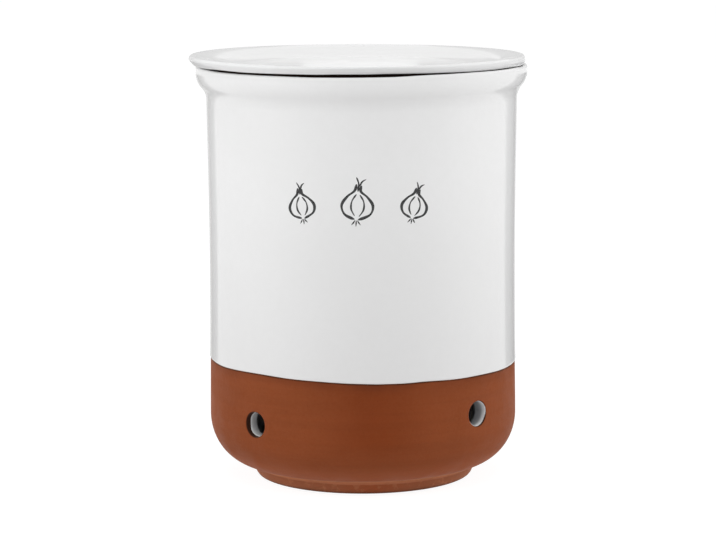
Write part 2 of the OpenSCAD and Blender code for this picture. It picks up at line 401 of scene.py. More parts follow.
# Materials
class Nodes:
    """A material's node tree, with short calls to add nodes and join them."""

    def __init__(self, name):
        self.mat = bpy.data.materials.new(name)
        self.mat.use_nodes = True
        self.tree = self.mat.node_tree
        self.shader = next(n for n in self.tree.nodes if n.type == "BSDF_PRINCIPLED")
        self.coords = self.add("ShaderNodeTexCoord")

    def add(self, kind, **props):
        n = self.tree.nodes.new(kind)
        for k, v in props.items():
            setattr(n, k, v)
        return n

    def join(self, out, to):
        self.tree.links.new(out, to)

    def noise(self, scale, detail=2.0, rough=0.5, stretch=None):
        n = self.add("ShaderNodeTexNoise")
        n.inputs["Scale"].default_value = scale
        n.inputs["Detail"].default_value = detail
        n.inputs["Roughness"].default_value = rough
        if stretch:
            m = self.add("ShaderNodeMapping")
            m.inputs["Scale"].default_value = stretch
            self.join(self.coords.outputs["Object"], m.inputs["Vector"])
            self.join(m.outputs["Vector"], n.inputs["Vector"])
        else:
            self.join(self.coords.outputs["Object"], n.inputs["Vector"])
        return n.outputs["Fac"]

    def span(self, value, lo, hi, to_lo=0.0, to_hi=1.0, soft=True):
        n = self.add("ShaderNodeMapRange", interpolation_type="SMOOTHSTEP" if soft else "LINEAR")
        for k, v in zip(("From Min", "From Max", "To Min", "To Max"), (lo, hi, to_lo, to_hi)):
            n.inputs[k].default_value = v
        self.join(value, n.inputs["Value"])
        return n.outputs["Result"]

    def maths(self, op, a, b):
        n = self.add("ShaderNodeMath", operation=op)
        for k, v in enumerate((a, b)):
            if isinstance(v, (int, float)):
                n.inputs[k].default_value = v
            else:
                self.join(v, n.inputs[k])
        return n.outputs["Value"]

    def times(self, a, b):
        return self.maths("MULTIPLY", a, b)

    def mix(self, fac, a, b, kind="MIX"):
        n = self.add("ShaderNodeMix", data_type="RGBA", blend_type=kind)
        for k, v in ((0, fac), (6, a), (7, b)):
            if isinstance(v, (int, float)):
                n.inputs[k].default_value = v
            elif isinstance(v, tuple):
                n.inputs[k].default_value = (*v, 1.0)
            else:
                self.join(v, n.inputs[k])
        return n.outputs[2]

    def attribute(self, name):
        n = self.add("ShaderNodeAttribute", attribute_name=name)
        return n.outputs["Fac"]

    def height(self):
        n = self.add("ShaderNodeSeparateXYZ")
        self.join(self.coords.outputs["Object"], n.inputs["Vector"])
        return n.outputs["Z"]

    def bump(self, *layers):
        """Layers of (height, distance in metres), each on top of the last."""
        last = None
        for value, distance in layers:
            n = self.add("ShaderNodeBump")
            n.inputs["Strength"].default_value = 1.0
            n.inputs["Distance"].default_value = distance
            self.join(value, n.inputs["Height"])
            if last:
                self.join(last, n.inputs["Normal"])
            last = n.outputs["Normal"]
        self.join(last, self.shader.inputs["Normal"])

    def set(self, **values):
        for k, v in values.items():
            self.shader.inputs[k.replace("_", " ")].default_value = v


# Colours of the clay, the glaze and the ink
CLAY_DARK, CLAY_LIGHT = (0.240, 0.0568, 0.0166), (0.269, 0.0655, 0.0206)
CLAY_GRAIN, CLAY_TURNED, CLAY_SPECK = (0.275, 0.077, 0.0285), (0.199, 0.050, 0.0160), (0.125, 0.030, 0.011)
# Several clay colours here are painted light or shade: the front's shade, the paler clay low down, on the
# foot and in a band above it, the foot's contact shade, and the near-black clay in the vents and at the seat
CLAY_FRONT_SHADE, CLAY_LOW_LIT = (0.840, 0.700, 0.530), (0.358, 0.098, 0.038)
FOOT_CLAY_LIT, FOOT_FRONT_PAINTED = (0.405, 0.148, 0.073), (0.440, 0.130, 0.053)
WORN_AND_LIT_CLAY, RUBBED_CLAY, FOOT_CONTACT_SHADE = (0.630, 0.262, 0.134), (0.600, 0.240, 0.120), (0.130, 0.050, 0.028)
SOAKED_CLAY, LINE_CLAY = (0.130, 0.029, 0.010), (0.070, 0.020, 0.0085)
VENT_SHADE_CLAY, SEAT_SHADE_CLAY = (0.026, 0.012, 0.009), (0.030, 0.026, 0.024)
CLAY_SHEEN = (1.0, 0.58, 0.38, 1)
GLAZE_THICK, GLAZE_POOL, GLAZE_FINE = (0.868, 0.868, 0.867), (0.884, 0.884, 0.885), (0.850, 0.849, 0.847)
# The last colour on the next line is painted shade, for the vents' sleeves and the lid's lip
GLAZE_LOW, GLAZE_THIN, GLAZE_SHADE = (0.915, 0.915, 0.916), (0.80, 0.74, 0.69), (0.36, 0.37, 0.39)
INK_DARK, INK_LIGHT = (0.016, 0.016, 0.017), (0.030, 0.030, 0.031)

# Heights in metres between which the looks change, and depths below the glaze line
FRONT_SHADE_SPAN, LOW_LIT_SPAN, FOOT_SPAN = (0.015, 0.034), (0.0205, 0.0090), (0.0074, 0.0062)
WORN_AND_LIT_TOP_SPAN, WORN_AND_LIT_LOW_SPAN, CONTACT_SHADE_SPAN = (0.0096, 0.0078), (0.0049, 0.0058), (0.0020, 0.0007)
SEAT_SHADE_SPAN, GLAZE_LOW_SPAN = (0.2095, 0.2125), (0.165, 0.060)
SOAK_SPAN, LINE_TOP_SPAN, LINE_LOW_SPAN = (0.0065, 0.0004), (-0.0004, 0.0001), (0.0012, 0.0004)


def terracotta():
    m = Nodes("terracotta")
    cloud = m.span(m.noise(24, 4, 0.55), 0.32, 0.68)
    grain = m.span(m.noise(700, 3, 0.6), 0.35, 0.65)
    speck = m.span(m.noise(1500, 2, 0.5), 0.66, 0.74)
    turned = m.span(m.noise(9, 3, 0.6, (1.0, 1.0, 34.0)), 0.35, 0.65)
    colour = m.mix(cloud, CLAY_DARK, CLAY_LIGHT)
    colour = m.mix(m.times(grain, 0.30), colour, CLAY_GRAIN)
    colour = m.mix(m.times(turned, 0.22), colour, CLAY_TURNED)
    colour = m.mix(m.times(speck, 0.35), colour, CLAY_SPECK)
    # Painted shade at the front of the view; paler clay low down, on the foot and in a band where the corner
    # meets the foot, mostly painted light; rubbed clay on the foot's edge
    z = m.height()
    front_shade = m.attribute("front_shade")
    # Painted shade: the clay is darker and browner towards the front of the view, where less light falls
    colour = m.mix(m.times(front_shade, m.span(z, *FRONT_SHADE_SPAN)), colour, CLAY_FRONT_SHADE, "MULTIPLY")
    # Painted light: paler clay on the lower corner, which faces the floor, standing in for light bounced
    # from it
    colour = m.mix(m.times(m.span(z, *LOW_LIT_SPAN), 0.9), colour, CLAY_LOW_LIT)
    # The foot is paler clay, lightened further as painted light in the shade under the corner, and redder at
    # the front with the painted front shade
    foot = m.span(z, *FOOT_SPAN)
    colour = m.mix(foot, colour, m.mix(front_shade, FOOT_CLAY_LIT, FOOT_FRONT_PAINTED))
    # A pale band where the corner meets the foot: painted light for the light line there and against the
    # shade under the overhang, patchy like wear
    worn_and_lit = m.times(m.span(z, *WORN_AND_LIT_TOP_SPAN), m.span(z, *WORN_AND_LIT_LOW_SPAN))
    worn_and_lit = m.times(worn_and_lit, m.span(m.noise(70, 3, 0.6), 0.30, 0.55, 0.55, 0.95))
    colour = m.mix(worn_and_lit, colour, WORN_AND_LIT_CLAY)
    rubbed = m.times(foot, m.span(m.noise(210, 4, 0.65), 0.52, 0.64))
    colour = m.mix(m.times(rubbed, 0.40), colour, RUBBED_CLAY)
    # Painted shade: the foot's lowest edge darkens where it meets the floor
    colour = m.mix(m.times(m.span(z, *CONTACT_SHADE_SPAN), 0.55), colour, FOOT_CONTACT_SHADE)
    # A dark line just below the glaze line, and a faint stain that soaked in below it
    below = m.maths("SUBTRACT", m.attribute("line"), z)
    soak = m.times(m.span(below, *SOAK_SPAN), m.span(m.noise(60, 3, 0.5), 0.3, 0.7, 0.16, 0.50))
    # At the front the stain is deepened further, as painted shade
    soak = m.times(soak, m.span(front_shade, 0.0, 1.0, 0.85, 1.7))
    edge = m.times(m.span(below, *LINE_TOP_SPAN), m.span(below, *LINE_LOW_SPAN))
    edge = m.times(edge, m.span(m.noise(130, 2, 0.5), 0.25, 0.65, 0.55, 1.0))
    colour = m.mix(soak, colour, SOAKED_CLAY)
    colour = m.mix(edge, colour, LINE_CLAY)
    # Painted shade: bare clay darkened to near black in the vents and where the lid sits, where little light
    # reaches
    colour = m.mix(m.times(m.attribute("vent_shade"), 0.92), colour, VENT_SHADE_CLAY)
    colour = m.mix(m.times(m.span(z, *SEAT_SHADE_SPAN), 0.90), colour, SEAT_SHADE_CLAY)
    m.join(colour, m.shader.inputs["Base Color"])
    m.join(m.span(m.noise(90, 4, 0.6), 0.3, 0.7, 0.56, 0.70), m.shader.inputs["Roughness"])
    m.bump((m.noise(420, 4, 0.6), 0.00012), (m.noise(1600, 2, 0.5), 0.00004), (turned, 0.00003))
    m.set(IOR=1.45, Specular_IOR_Level=0.11)
    m.set(Sheen_Weight=0.09, Sheen_Roughness=0.45, Sheen_Tint=CLAY_SHEEN)
    return m.mat


def white_glaze():
    m = Nodes("white_glaze")
    pool = m.span(m.noise(14, 3, 0.5), 0.3, 0.7)
    fine = m.span(m.noise(260, 3, 0.6), 0.3, 0.7)
    colour = m.mix(pool, GLAZE_THICK, GLAZE_POOL)
    colour = m.mix(m.times(fine, 0.30), colour, GLAZE_FINE)
    # The coat is a little less white towards the bottom of the wall
    low = m.span(m.height(), *GLAZE_LOW_SPAN, soft=False)
    colour = m.mix(low, colour, GLAZE_LOW, "MULTIPLY")
    # Where the coat thins out at an edge the clay warms it; painted shade darkens it in the vents and on the
    # lip's face
    colour = m.mix(m.times(m.attribute("thin"), 0.5), colour, GLAZE_THIN)
    colour = m.mix(m.attribute("glaze_shade"), colour, GLAZE_SHADE, "MULTIPLY")
    m.join(colour, m.shader.inputs["Base Color"])
    m.join(m.span(m.noise(60, 3, 0.5), 0.3, 0.7, 0.12, 0.15), m.shader.inputs["Roughness"])
    m.bump((m.noise(38, 2, 0.4), 0.000006), (m.noise(240, 2, 0.5), 0.0000012))
    m.set(IOR=1.5)
    return m.mat


def ink():
    m = Nodes("dark_ink")
    flow = m.span(m.noise(420, 3, 0.6), 0.3, 0.7)
    m.join(m.mix(flow, INK_DARK, INK_LIGHT), m.shader.inputs["Base Color"])
    m.join(m.span(m.noise(700, 2, 0.5), 0.3, 0.7, 0.26, 0.40), m.shader.inputs["Roughness"])
    m.bump((m.noise(900, 2, 0.5), 0.000015))
    m.set(IOR=1.5)
    return m.mat


CLAY_MAT, GLAZE_MAT, INK_MAT = terracotta(), white_glaze(), ink()

# The fired rim in millimetres: its lean, unevenness and drop, and the heights and radii where they set in
RIM_TILT = 0.35 * ACROSS
RIM_UNEVEN = uneven(ACROSS, steps=((0.52, -0.82, -0.99),),
                    windows=((0.20, -0.95, -0.75, -0.5, -0.3), (0.40, 0.16, 0.40, 0.60, 0.95)))
RIM_UNEVEN = RIM_UNEVEN - 0.06 * smooth(0.3, -0.3, AWAY)
RIM_DROP = -0.5 * smooth(0.92, 0.985, ACROSS)
TILT_SPAN, UNEVEN_SPAN, DROP_SPAN, FLARE_SPAN = (184, 208), (207, 214), (212.2, 214.9), (80.3, 83)


def rim_row(b, r, z):
    """A row of the rim, which stands lower on the left and isn't quite even, as thrown rims are."""
    p = turn(r, z)
    lift = RIM_TILT * smooth(*TILT_SPAN, z) + RIM_UNEVEN * smooth(*UNEVEN_SPAN, z)
    p[:, 2] += (lift + RIM_DROP * smooth(*DROP_SPAN, z)) * smooth(*FLARE_SPAN, r)
    return b.ring(p)


# Clay pot

# The foot's edge: its waves, what was wiped off it, how much wider it is, and the radii and heights of these
FOOT_RIPPLE, FOOT_WIPED = ((0.10, 7, 0.5), (0.07, 13, 2.0)), 0.12
FOOT_WIDER = 0.5 + 0.5 * ACROSS
WIPED_R_SPAN, WIPED_TOP_SPAN, WIPED_LOW_SPAN = (52, 56), (9, 5), (0.3, 1.5)
WIDER_R_SPAN, WIDER_Z_SPAN = (40, 54), (9, 6.5)

# Rings of a vent between its mouth and the inside, as shares of the way
BORE_STATIONS = (0.15, 0.35, 0.6, 0.8)

# Looks: the clay that has a glaze line, the height in metres for clay without, the painted shade at the
# front, and the painted shade in the vents
OUTSIDE_R, LINE_BELOW_Z, NO_LINE = 76, 100, 1.0
FRONT_SHADE_PLACE, FRONT_SHADE_WIDTH = 0.08, 0.30
VENT_SHADE_FROM_R, VENT_SHADE_SPAN = 60, (VENT_R + 0.50, VENT_R + 0.05)


def vent_mouth(phi, deg):
    """Radius of a vent's mouth on the outside, which isn't quite round, each in its own way."""
    return VENT_R + VENT_EDGE + ripple(phi, (0.06, 2, deg), (0.04, 3, 2 * deg))


def make_pot():
    b = Build()
    wobble = ripple(ANGLES, *FOOT_RIPPLE)
    rows = []
    for r, z in pot_underside():
        # The foot's edge was wiped by hand, so it isn't quite even, and it is wider on the right
        wiped = smooth(*WIPED_R_SPAN, r) * smooth(*WIPED_TOP_SPAN, z) * smooth(*WIPED_LOW_SPAN, z)
        wider = FOOT_WIDER * smooth(*WIDER_R_SPAN, r) * smooth(*WIDER_Z_SPAN, z)
        rows.append(b.row(r - FOOT_WIPED * wiped + wobble * wiped + wider, z))
    out_from = len(rows)
    rows += [b.row(corner_r_at(z), z) for z in VENT_ROWS]
    rows += [b.row(wall_r_at(z), z) for z in np.linspace(VENT_ROWS[-1], RIM_Z, 30)[1:-1]]
    rows += [rim_row(b, r, z) for r, z in rim_outside(0, 1) + rim_inside()]
    rows += [b.row(r, SHELF_Z) for r in SHELF_ROWS]
    rows += [b.row(r, z) for r, z in arc(BORE_R + SHELF_EDGE, SHELF_Z - SHELF_EDGE, SHELF_EDGE, 90, 180, 5)]
    rows += [b.row(BORE_R, z) for z in np.linspace(SHELF_Z - SHELF_EDGE, VENT_ROWS[-1], 22)[1:-1]]
    in_from = len(rows)
    rows += [b.row(bore_r_at(z), z) for z in VENT_ROWS[::-1]]
    rows += [b.row(r, z) for r, z in inner_corner(0, 12)]
    rows += [b.row(r, FLOOR_Z) for r in FLOOR_ROWS]
    skip, holes = [], []
    for deg, vz in VENTS:
        col = deg * N // 360
        first, last = vent_span(vz)
        out_cells, outer = vent_block(rows, out_from + first, out_from + last, col)
        in_cells, inner = vent_block(rows, in_from + LAST_ROW - first, in_from + LAST_ROW - last, col)
        skip += out_cells + in_cells
        holes.append((deg, vz, outer, inner))
    b.strip(rows, skip)
    b.cap(rows[0], (0, 0, HOLLOW_H))
    b.cap(rows[-1], (0, 0, FLOOR_Z))
    for deg, vz, outer, inner in holes:
        ring, phi = vent_patch(b, outer, deg, vz, lambda f: vent_mouth(f, deg), corner_r_at, 5)
        lip = rounded(along(b, ring, deg), vent_mouth(phi, deg), VENT_EDGE, -1)
        ring = tube(b, ring, deg, vz, phi, lip)
        back, _ = vent_patch(b, inner, deg, vz, VENT_R, bore_r_at, 3)
        x_in = along(b, back, deg)
        x, rad = lip[-1]
        stations = [(x * (1 - s) + x_in * s, rad * (1 - s) + VENT_R * s) for s in BORE_STATIONS]
        ring = tube(b, ring, deg, vz, phi, stations)
        b.bridge(ring, back)
    o = b.piece("pot_clay", "pot", CLAY_MAT, "terracotta", "clay_pot", sharp=50)
    v = np.array(b.verts)
    th, rr = np.arctan2(v[:, 1], v[:, 0]), np.hypot(v[:, 0], v[:, 1])
    # The glaze line's height, and on clay that has none a height far above the part
    has_line = (rr > OUTSIDE_R) & (v[:, 2] < LINE_BELOW_Z)
    paint(o, "line", np.where(has_line, glaze_line(th) * MM, NO_LINE))
    # Painted shade, strongest at the front of the view and fading towards its sides
    paint(o, "front_shade", hump(np.cos(th - RIGHT), FRONT_SHADE_PLACE, FRONT_SHADE_WIDTH))
    # Painted shade: the clay in each vent's bore, darkened to near black
    vent_shade = np.zeros(len(v))
    for deg, vz in VENTS:
        loc = local(v, deg)
        vent_shade += (loc[:, 0] > VENT_SHADE_FROM_R) * smooth(*VENT_SHADE_SPAN, np.hypot(loc[:, 1], loc[:, 2] - vz))
    paint(o, "vent_shade", vent_shade)


# Outer glaze: a bead along its wavy lower edge, the wall, and the rim to its flat top

# The bead: heights over the glaze line and thicknesses there, and where the coat's back starts
BEAD = [(-0.06, 0.0), (-0.02, 0.10), (0.06, 0.19), (0.2, 0.27), (0.45, 0.335), (0.9, 0.36), (1.6, 0.345),
        (2.6, 0.315), (4.5, 0.30), (8.0, 0.30)]
BEAD_BACK = 3

# The height from which the rows are level, and the rows up to it
LEVEL_Z, LEVEL_ROWS = 84.0, 6

# A coat's rounded end: how far back from it, and how thick there
COAT_END = ((0.12, 0.22), (0.0, 0.06))

# The coat's end on the rim, and the strip over the glaze line where it is thin
RIM_END_RIPPLE = ((0.10, 6, 0.7), (0.06, 11, 0))
RIM_END_STEPS = ((0.95, 0.3, 0.5), (0.95, -0.75, -0.92))
THIN_SPAN, THIN_MOST = (0.5, 0.0), 0.8


def make_outer_glaze():
    b = Build()
    line = glaze_line(ANGLES)
    rows = [b.row(wall_r_at(line + s) + t, line + s) for s, t in BEAD]
    # Rows that follow the wavy edge less and less
    for k in range(1, LEVEL_ROWS + 1):
        z = (line + BEAD[-1][0]) * (1 - k / LEVEL_ROWS) + LEVEL_Z * k / LEVEL_ROWS
        rows.append(b.row(wall_r_at(z) + GLAZE, z))
    rows += [b.row(wall_r_at(z) + GLAZE, z) for z in np.linspace(LEVEL_Z, RIM_Z, 34)[1:-1]]
    rows += [rim_row(b, r, z) for r, z in rim_outside(GLAZE, 2)]
    # It was wiped off the rim's inner half, so it ends there in an uneven edge
    end = RIM_R - RIM_GLAZE_W + ripple(ANGLES, *RIM_END_RIPPLE) - uneven(ACROSS, RIM_END_STEPS)
    rows += [rim_row(b, end + u, POT_H + v) for u, v in COAT_END]
    # Back of the coat, against the clay
    rows.append(rim_row(b, end, POT_H))
    rows += [rim_row(b, r, z) for r, z in rim_outside(0, 1)[::-1]]
    rows += [b.row(wall_r_at(z), z) for z in np.linspace(RIM_Z, LEVEL_Z, 14)[1:]]
    rows.append(b.row(wall_r_at(line + BEAD_BACK), line + BEAD_BACK))
    b.strip(rows + [rows[0]])
    o = b.piece("pot_outer_glaze", "pot", GLAZE_MAT, "white_glaze", "outer_glaze")
    v = np.array(b.verts)
    above = v[:, 2] - glaze_line(np.arctan2(v[:, 1], v[:, 0]))
    paint(o, "thin", smooth(*THIN_SPAN, above) * THIN_MOST)


# Inner glaze: the lining of the pot with a sleeve in each vent, whose outer ends are uneven

# The lining's upper end: its waves, then thickness, depth below the end and share of the waves, row by row
LINING_RIPPLE = ((0.15, 5, 0.3), (0.1, 12, 1.1))
LINING_END = ((0.10, 0.0, 1.0), (0.24, 0.25, 1.0), (GLAZE, 0.9, 0.5))
LINING_LEVEL = 2.0

# A sleeve: its rounded start, its back against the clay, its rings, and its rounded end
SLEEVE_EDGE, SLEEVE_BACK_R = 0.7, VENT_R - 0.01
SLEEVE_STATIONS, SLEEVE_TAPER = (0.3, 0.6, 0.85, 1.0), 0.5
SLEEVE_END = ((-0.15, 0.05), (0.0, 0.17))
SLEEVE_TIP = 0.04

# By the vents' height: how far behind the wall's face a sleeve ends, and how uneven that end is
SLEEVES = {VENT_X_Z: (0.75, 0.16), VENT_Y_Z: (3.2, 0.34)}

# By the vents' height: the radius at which the painted shade on a sleeve sets in inward, and how dark it
# gets
SHADES = {VENT_X_Z: (78.2, 0.9), VENT_Y_Z: (76.0, 0.3)}

# Over what length the painted shade sets in, and how far round and inside the vent that reaches
SHADE_W, SHADE_ROUND, SHADE_IN = 2.2, 0.3, 2


def make_inner_glaze():
    b = Build()
    start = SHELF_Z - SHELF_EDGE - DRY
    ragged = ripple(ANGLES, *LINING_RIPPLE)
    front = [b.row(BORE_R - t, start - down + ragged * share) for t, down, share in LINING_END]
    front += [b.row(BORE_R - GLAZE, z) for z in np.linspace(start - LINING_LEVEL, VENT_ROWS[-1], 22)[:-1]]
    front_from = len(front)
    front += [b.row(bore_r_at(z, GLAZE), z) for z in VENT_ROWS[::-1]]
    front += [b.row(r, z) for r, z in inner_corner(GLAZE, 12)]
    front += [b.row(r, FLOOR_Z + GLAZE) for r in LINING_ROWS]
    back = [b.row(BORE_R, start + ragged)]
    back += [b.row(BORE_R, z) for z in np.linspace(start - LINING_LEVEL, VENT_ROWS[-1], 10)[:-1]]
    back_from = len(back)
    back += [b.row(bore_r_at(z), z) for z in VENT_ROWS[::-1]]
    back += [b.row(r, z) for r, z in inner_corner(0, 8)]
    back += [b.row(r, FLOOR_Z) for r in LINING_BACK_ROWS]
    front_skip, back_skip, holes = [], [], []
    for deg, vz in VENTS:
        col = deg * N // 360
        low, top = (LAST_ROW - k for k in vent_span(vz))
        front_cells, near = vent_block(front, front_from + low, front_from + top, col)
        back_cells, far = vent_block(back, back_from + low, back_from + top, col)
        front_skip += front_cells
        back_skip += back_cells
        holes.append((deg, vz, near, far))
    b.strip(front, front_skip)
    b.strip(back, back_skip)
    b.bridge(front[0], back[0])
    b.cap(front[-1], (0, 0, FLOOR_Z + GLAZE))
    b.cap(back[-1], (0, 0, FLOOR_Z))
    clear = VENT_R - GLAZE
    for deg, vz, near, far in holes:
        ring, phi = vent_patch(b, near, deg, vz, clear + SLEEVE_EDGE, lambda z: bore_r_at(z, GLAZE), 5)
        lip = rounded(along(b, ring, deg), clear + SLEEVE_EDGE, SLEEVE_EDGE, 1)
        ring = tube(b, ring, deg, vz, phi, lip)
        behind, rough = SLEEVES[vz]
        end = wall_r_at(vz) - behind
        end = end + rough * ripple(phi, (1.0, 2, deg), (0.7, 3, 1 + 2 * deg), (0.5, 5, 0.4 * deg))
        x = lip[-1][0]
        stations = [(x * (1 - s) + (end - SLEEVE_TAPER) * s, clear) for s in SLEEVE_STATIONS]
        stations += [(end + u, clear + t) for u, t in SLEEVE_END]
        stations.append((end + SLEEVE_TIP, SLEEVE_BACK_R))
        ring = tube(b, ring, deg, vz, phi, stations)
        last, _ = vent_patch(b, far, deg, vz, SLEEVE_BACK_R, bore_r_at, 3)
        b.bridge(ring, last)
    o = b.piece("pot_lining", "pot", GLAZE_MAT, "white_glaze", "inner_glaze", sharp=60)
    v = np.array(b.verts)
    # Painted shade: each vent's sleeve darkens inward, deep in the vent
    glaze_shade = np.zeros(len(v))
    for deg, vz in VENTS:
        loc = local(v, deg)
        inside = np.hypot(loc[:, 1], loc[:, 2] - vz) < VENT_R + SHADE_ROUND
        inside = inside * (loc[:, 0] > BORE_R - SHADE_IN)
        grey_from, most = SHADES[vz]
        glaze_shade += inside * most * smooth(grey_from, grey_from - SHADE_W, loc[:, 0])
    paint(o, "glaze_shade", glaze_shade)


# Lid, where it lies in its play
lid_lo, lid_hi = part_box("clay_lid")
LID_X, LID_Y = (lid_lo.x + lid_hi.x) / 2 / MM, (lid_lo.y + lid_hi.y) / 2 / MM

# The fired lip in millimetres: its warp, how uneven its underside is, and its crest, higher at the front
LIP_WARP = -0.56 - 0.28 * ACROSS - 0.43 * AWAY + 0.23 * np.cos(2 * (ANGLES - RIGHT))
LIP_UNDER = 0.2 + uneven(
    ACROSS,
    steps=((-0.85, -0.2, -1.15), (-0.72, 0.3, 0.95), (0.14, 0.93, 1.0), (-0.5, 0.92, 0.985),
           (0.45, -0.965, -0.995)),
    windows=((-0.28, -0.995, -0.965, -0.90, -0.84), (-0.22, -0.80, -0.65, -0.25, -0.1)),
    humps=((0.13, 0.2, 0.1),))
LIP_CREST = (0.19 + 0.26 * smooth(-0.5, 0.4, ACROSS)) * window(ACROSS, -1.0, -0.7, 0.75, 1.0)
LIP_CREST = np.minimum(LIP_CREST * smooth(0.1, -0.5, AWAY), np.maximum(0.02 - LIP_WARP, 0))
UNDER_SPAN, CREST_SPAN, LIP_R_SPAN, LIP_Z_SPAN = (1.6, 0.3), (0.8, 2.6), (62, 84), (212.0, 216.0)

# Where the lip is fuller under its edge: how much, where across, how far above its underside, what radii
LIP_FULL = ((0.8, (0.86, 0.97), (2.0, 0.8), (83.6, 84.6)), (0.35, (-0.90, -0.98), (2.6, 1.2), (82.8, 83.8)))

# The seat ring's inner edge, the ends of the lid's coats, and the strip of the lip's face with painted shade
SEAT_IN_EDGE, WELL_TOP = ((0.3, 0.0), (0.1, 0.1)), 0.4
LIP_END_RIPPLE = ((0.10, 7, 0.2), (0.07, 15, 1))
WELL_END_RIPPLE, WELL_COAT_END = ((0.1, 8, 0), (0.07, 13, 2)), ((0.05, 0.0), (0.2, 0.15))
FACE_Z_SPAN, FACE_R_SPAN = (CREST_Z - 0.4, CREST_Z - 1.4), (81.0, 83.0)
FACE_SHADE, FACE_SIDE_SHADE, FACE_SIDE_SPAN = 0.08, 0.07, (0.5, 0.9)


def lid_row(b, r, z):
    """A row of the lid where it lies. Its lip has warped a little and stands highest on the left."""
    up = z - LIP_Z
    full = sum(h * smooth(*places, ACROSS) * smooth(*levels, up) * smooth(*radii, r)
               for h, places, levels, radii in LIP_FULL)
    p = turn(r + full, z)
    lift = LIP_WARP + LIP_UNDER * smooth(*UNDER_SPAN, up) + LIP_CREST * smooth(*CREST_SPAN, up)
    p[:, 2] += lift * smooth(*LIP_R_SPAN, r) * smooth(*LIP_Z_SPAN, z)
    p[:, 0] += LID_X
    p[:, 1] += LID_Y
    return b.ring(p)


def make_lid():
    b = Build()
    outline = lid_top_rows(0, 1) + lid_neck()
    outline += arc(SEAT_R - SEAT_EDGE, SHELF_Z + SEAT_EDGE, SEAT_EDGE, 0, -90, 5)
    outline += [(r, SHELF_Z) for r in SEAT_ROWS]
    outline += [(WELL_R + u, SHELF_Z - v) for u, v in SEAT_IN_EDGE] + lid_under(0, SHELF_Z - WELL_TOP)
    rows = [lid_row(b, r, z) for r, z in outline]
    b.strip(rows)
    b.cap(rows[0], (LID_X, LID_Y, DISH_Z))
    b.cap(rows[-1], (LID_X, LID_Y, WELL_Z))
    o = b.piece("lid_clay", "lid", CLAY_MAT, "terracotta", "clay_lid", sharp=50)
    paint(o, "line", np.full(len(b.verts), NO_LINE))


def make_lid_glaze():
    b = Build()
    # It was wiped off the neck, and ends in an uneven edge under the lip
    top = lid_top_rows(GLAZE, 2)
    end = top[-1][0] - LIP_BEND[-1][0] - LIP_GLAZE_W + ripple(ANGLES, *LIP_END_RIPPLE)
    front = [lid_row(b, r, z) for r, z in top]
    front += [lid_row(b, end + u, LIP_Z - v) for u, v in COAT_END]
    back = [lid_row(b, end, LIP_Z)]
    back += [lid_row(b, r, z) for r, z in lid_top_rows(0, 1)[::-1]]
    b.strip(front + back)
    b.cap(front[0], (LID_X, LID_Y, DISH_Z + GLAZE))
    b.cap(back[-1], (LID_X, LID_Y, DISH_Z))
    o = b.piece("lid_glaze_coat", "lid", GLAZE_MAT, "white_glaze", "lid_glaze")
    v = np.array(b.verts) - (LID_X, LID_Y, 0)
    # Painted shade on the lip's outer face, stronger towards the view's left and right ends
    side = np.abs(np.cos(np.arctan2(v[:, 1], v[:, 0]) - RIGHT))
    face = smooth(*FACE_Z_SPAN, v[:, 2]) * smooth(*FACE_R_SPAN, np.hypot(v[:, 0], v[:, 1]))
    paint(o, "glaze_shade", face * (FACE_SHADE + FACE_SIDE_SHADE * smooth(*FACE_SIDE_SPAN, side)))


def make_lid_under_glaze():
    b = Build()
    start = SHELF_Z - DRY + ripple(ANGLES, *WELL_END_RIPPLE)
    front = [lid_row(b, WELL_R + t, start - down) for t, down in WELL_COAT_END]
    front += [lid_row(b, r, z) for r, z in lid_under(GLAZE, SHELF_Z - DRY - WELL_TOP)]
    back = [lid_row(b, WELL_R, start)]
    back += [lid_row(b, r, z) for r, z in lid_under(0, SHELF_Z - DRY - WELL_TOP)]
    b.strip(front)
    b.strip(back)
    b.bridge(front[0], back[0])
    b.cap(front[-1], (LID_X, LID_Y, WELL_Z - GLAZE))
    b.cap(back[-1], (LID_X, LID_Y, WELL_Z))
    b.piece("lid_under_glaze", "lid", GLAZE_MAT, "white_glaze", "lid_inner_glaze")


# Drawing on the front: three plain onion bulbs in brush lines

# A stroke's cross section: places across half its width, and heights over the glaze
RIBBON = ((-1, -0.03), (-1, 0.012), (-0.55, 0.035), (0, 0.04), (0.55, 0.035), (1, 0.012), (1, -0.03),
          (0, -0.03))

# A stroke's ends: the length that tapers, how it tapers, and the width left at the tip
TAPER, TAPER_POWER, TIP = 1.6, 0.6, 0.22

# How the brush's pressure varies along a stroke
PRESS, PRESS_RATE, PRESS_START = 0.22, 2.3, 1.0

# A bulb's strokes: width, and points in units of its size
BULB = (
    (1.25, ((-0.08, 0.98), (-0.16, 0.66), (-0.50, 0.36), (-0.74, -0.06), (-0.58, -0.48), (-0.10, -0.70))),
    (1.25, ((0.16, 0.92), (0.14, 0.64), (0.46, 0.38), (0.74, -0.02), (0.62, -0.45), (0.06, -0.72))),
    (0.8, ((-0.06, 0.50), (-0.26, 0.16), (-0.28, -0.22), (-0.10, -0.54))),
    (0.8, ((0.10, 0.48), (0.30, 0.14), (0.30, -0.24), (0.10, -0.56))),
    (0.95, ((0.00, 0.62), (0.02, 1.00), (-0.10, 1.30))),
    (0.85, ((0.06, 0.86), (0.18, 1.10), (0.36, 1.22))),
    (0.7, ((-0.07, -0.74), (-0.144, -0.86), (-0.24, -0.98))),
    (0.7, ((-0.015, -0.74), (-0.012, -0.86), (-0.02, -1.04))),
    (0.7, ((0.04, -0.74), (0.12, -0.86), (0.20, -0.96))))

# The bulbs: place along and up the wall, size, and lean in degrees
BULBS = ((-31.0, 151.0, 9.0, -9), (-2.5, 152.0, 10.5, 3), (26.5, 151.0, 9.0, 11))


